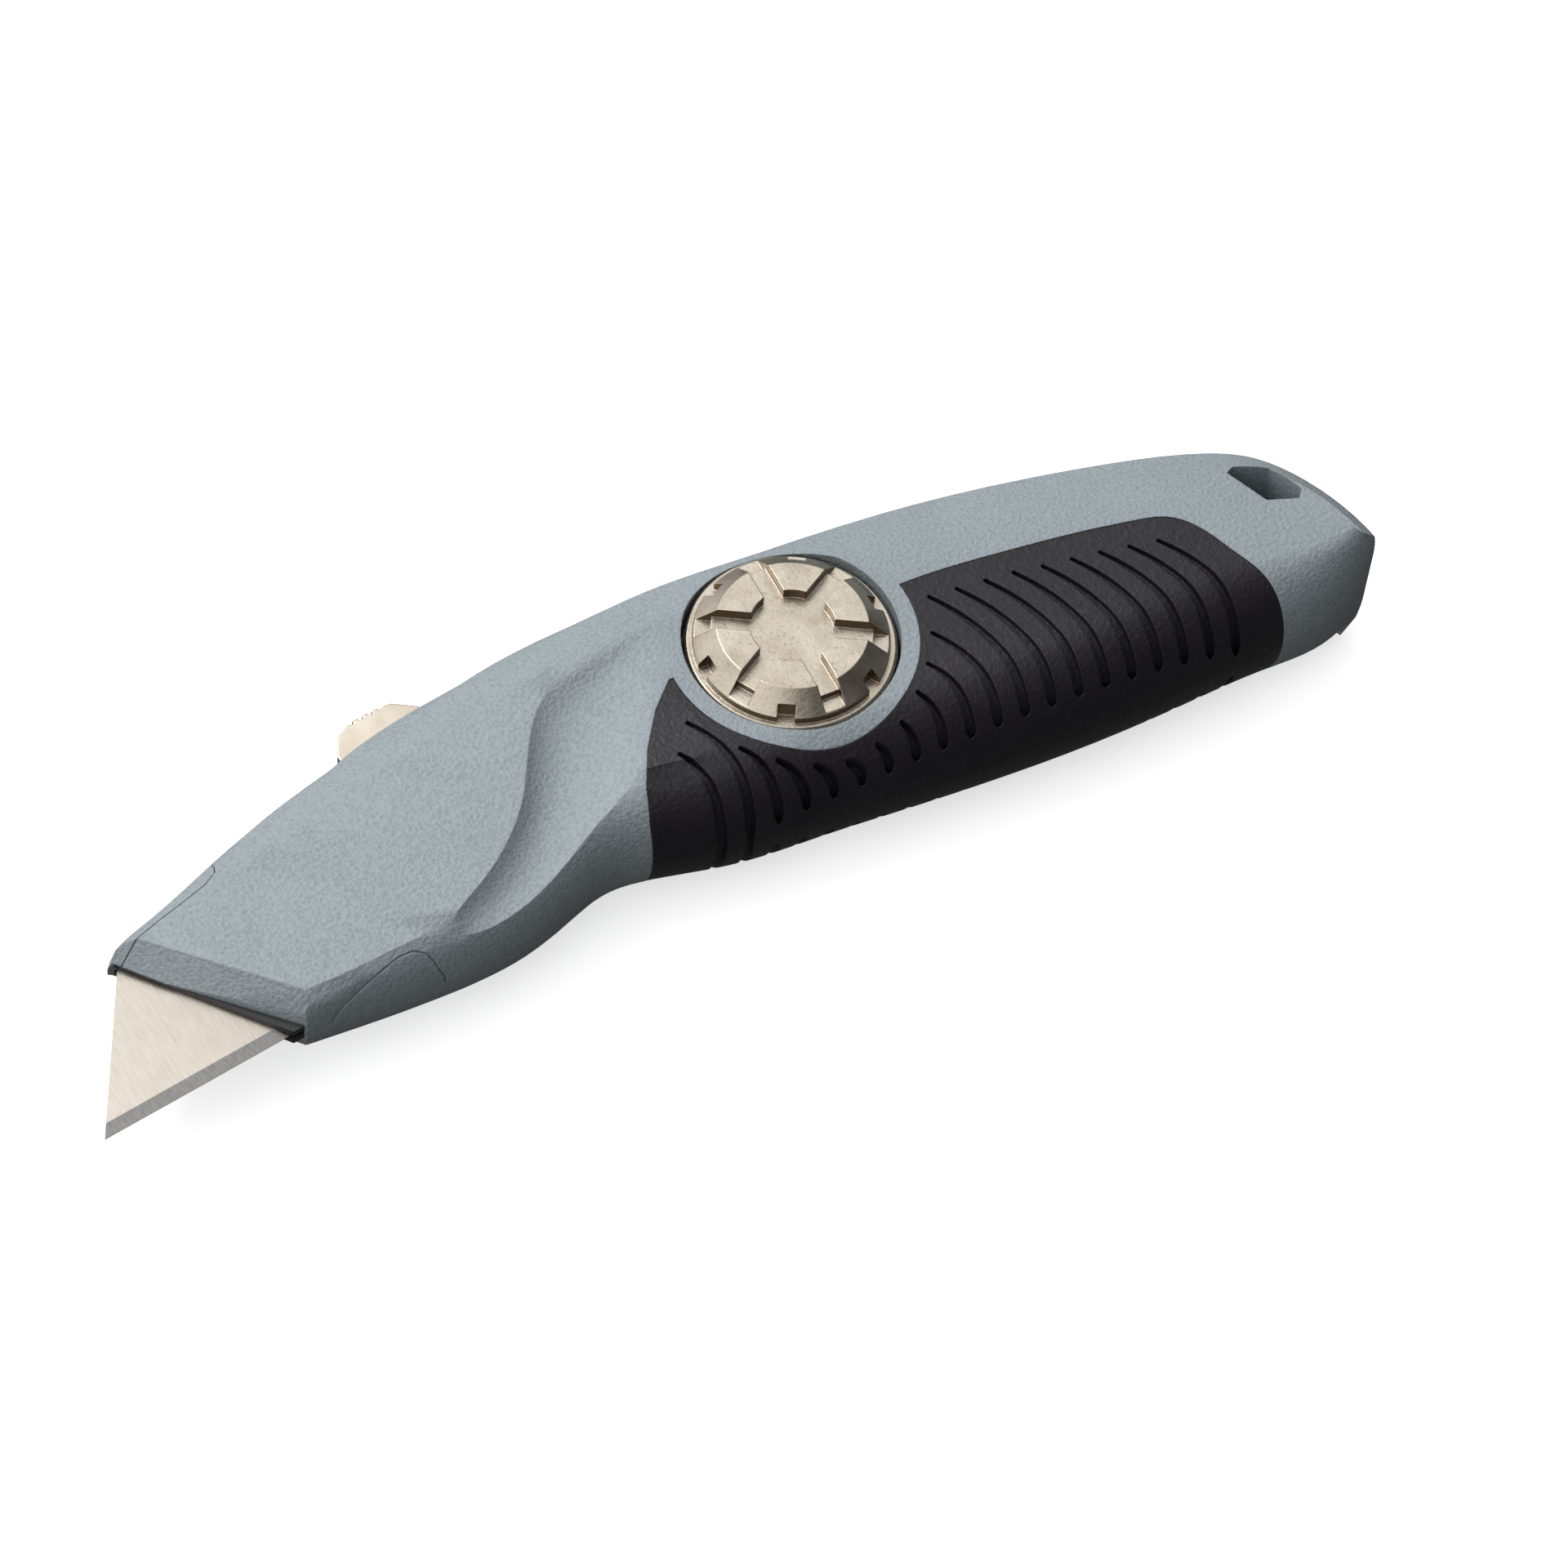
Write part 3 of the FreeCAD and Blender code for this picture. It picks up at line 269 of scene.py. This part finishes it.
def plain_steel():
    finish = Finish("plain_steel")
    lines = finish.noise(0.4 * MM, 4.0, 0.6, finish.stretched((0.1, 1.0, 1.0)))
    finish.out("Base Color", finish.ramp(lines, (0.3, (0.45, 0.45, 0.45)), (0.7, (0.58, 0.57, 0.56))))
    finish.out("Roughness", finish.spread(lines, 0.28, 0.42))
    return finish.set(Metallic=1.0).material


def turned_brass():
    finish = Finish("turned_brass")
    lines = finish.noise(0.3 * MM, 3.0, 0.6, finish.stretched((1.0, 1.0, 8.0)))
    finish.out("Base Color", finish.ramp(lines, (0.3, (0.56, 0.38, 0.14)), (0.7, (0.70, 0.50, 0.21))))
    finish.out("Roughness", finish.spread(lines, 0.25, 0.4))
    return finish.set(Metallic=1.0).material


def black_nylon():
    finish = Finish("black_nylon")
    grain = finish.noise(0.3 * MM, 3.0, 0.55)
    finish.out("Base Color", finish.ramp(grain, (0.3, (0.012, 0.012, 0.013)), (0.7, (0.02, 0.02, 0.021))))
    finish.out("Roughness", finish.spread(grain, 0.5, 0.38))
    finish.out("Normal", finish.bump(grain, 0.02 * MM, 0.6))
    return finish.material


COAT = powder_coat()
RUBBER = grip_rubber()
NICKEL = satin_nickel()
KNOB_PLATING = knob_plating()
BLADE_STEEL = blade_steel()
STEEL = plain_steel()
BRASS = turned_brass()
NYLON = black_nylon()

BY_SLOT = {"casing": COAT, "rubber": RUBBER, "nickel": NICKEL,
           "steel": STEEL, "brass": BRASS, "nylon": NYLON}
slot_of = {part["node"]: part["material_slot"] for part in frame["record"]["subparts"]}
for name, node in NODES.items():
    material = BY_SLOT[slot_of[name]]
    if name == "knob":
        material = KNOB_PLATING
    elif "blade" in name and material is STEEL:
        material = BLADE_STEEL
    node.data.materials.clear()
    node.data.materials.append(material)


# ------------------------------------------------------------------ pieces

def refined(node, name):
    """Welded copy of a CAD node, smooth shaded except across sharp corners."""
    source = NODES[node]
    mesh = source.data.copy()
    mesh.name = name
    piece = bpy.data.objects.new(name, mesh)
    bpy.context.scene.collection.objects.link(piece)
    shape = bmesh.new()
    shape.from_mesh(mesh)
    bmesh.ops.remove_doubles(shape, verts=shape.verts, dist=WELD)
    shape.normal_update()
    for face in shape.faces:
        face.smooth = True
    for edge in shape.edges:
        edge.smooth = len(edge.link_faces) == 2 and edge.calc_face_angle(0.0) < SHARP_ANGLE
    shape.to_mesh(mesh)
    shape.free()
    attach(piece, source["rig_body"])
    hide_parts(node)
    return piece


for shell in ("right_casing", "left_casing", "right_grip", "left_grip", "knob", "thumb_button"):
    refined(shell, shell + "_finished")


# ------------------------------------------------------------------ floor, lights, camera

def floor():
    shape = bmesh.new()
    bmesh.ops.create_grid(shape, x_segments=1, y_segments=1, size=FLOOR_SIZE)
    bmesh.ops.translate(shape, verts=shape.verts, vec=(0, 0, CAD_BOX[0][2] - FLOOR_GAP))
    mesh = bpy.data.meshes.new("studio_floor")
    shape.to_mesh(mesh)
    shape.free()
    ground = bpy.data.objects.new("studio_floor", mesh)
    bpy.context.scene.collection.objects.link(ground)
    finish = Finish("studio_paper")
    paper = finish.noise(0.4, 2.0)
    finish.out("Base Color", finish.ramp(paper, (0.3, (0.86, 0.86, 0.86)), (0.7, (0.88, 0.88, 0.88))))
    finish.set(Roughness=0.9, Specular_IOR_Level=0.1, Emission_Color=WHITE, Emission_Strength=FLOOR_GLOW)
    mesh.materials.append(finish.material)
    ground.visible_diffuse = False
    ground.visible_glossy = False


def direction(azimuth, elevation):
    """Unit vector from the knife towards a viewer at these angles in degrees."""
    a, e = math.radians(azimuth), math.radians(elevation)
    return Vector((math.sin(a) * math.cos(e), -math.cos(a) * math.cos(e), math.sin(e)))


def soft_light(name, azimuth, elevation, distance, size, power):
    """Square soft box aimed at the knife from a direction in degrees."""
    back = direction(azimuth, elevation)
    light = bpy.data.lights.new(name, "AREA")
    light.shape = "SQUARE"
    light.size = size
    light.energy = power
    light.color = WHITE[:3]
    lamp = bpy.data.objects.new(name, light)
    lamp.location = back * distance
    lamp.rotation_euler = back.to_track_quat("Z", "Y").to_euler()
    bpy.context.scene.collection.objects.link(lamp)


def studio():
    """White room, bright above and behind the spine, dark on the belly's side."""
    world = bpy.data.worlds.new("studio")
    world.use_nodes = True
    nodes, links = world.node_tree.nodes, world.node_tree.links
    place = nodes.new("ShaderNodeTexCoord")
    toward = nodes.new("ShaderNodeVectorMath")
    toward.operation = "DOT_PRODUCT"
    toward.inputs[1].default_value = Vector(SKY_FROM).normalized()
    shade = nodes.new("ShaderNodeMapRange")
    for key, value in zip(("From Min", "From Max", "To Min", "To Max"), SKY_SPREAD + SKY_STRENGTH):
        shade.inputs[key].default_value = value
    links.new(place.outputs["Generated"], toward.inputs[0])
    links.new(toward.outputs["Value"], shade.inputs["Value"])
    links.new(shade.outputs["Result"], nodes["Background"].inputs["Strength"])
    nodes["Background"].inputs["Color"].default_value = WHITE
    bpy.context.scene.world = world
    bpy.context.scene.view_settings.view_transform = "Standard"
    soft_light("key_light", 205.0, 58.0, 1.3, 0.6, 9.0)
    soft_light("fill_light", 300.0, 40.0, 1.4, 1.2, 3.0)


def camera():
    """Long lens, from above and ahead of the right side."""
    aim = Vector((KNOB_X + CAMERA_AIM[0], KNOB_Y + CAMERA_AIM[1], RIM_Z))
    back = direction(CAMERA_AZIMUTH, CAMERA_ELEVATION)
    lens = bpy.data.cameras.new("camera")
    lens.sensor_width = 36.0
    lens.lens = CAMERA_LENS
    lens.clip_start = 0.01
    view = bpy.data.objects.new("camera", lens)
    roll = Matrix.Rotation(math.radians(CAMERA_ROLL), 4, "Z")
    turn = back.to_track_quat("Z", "Y").to_matrix().to_4x4() @ roll
    view.matrix_world = Matrix.Translation(aim + back * CAMERA_DISTANCE) @ turn
    bpy.context.scene.collection.objects.link(view)
    bpy.context.scene.camera = view


floor()
studio()
camera()
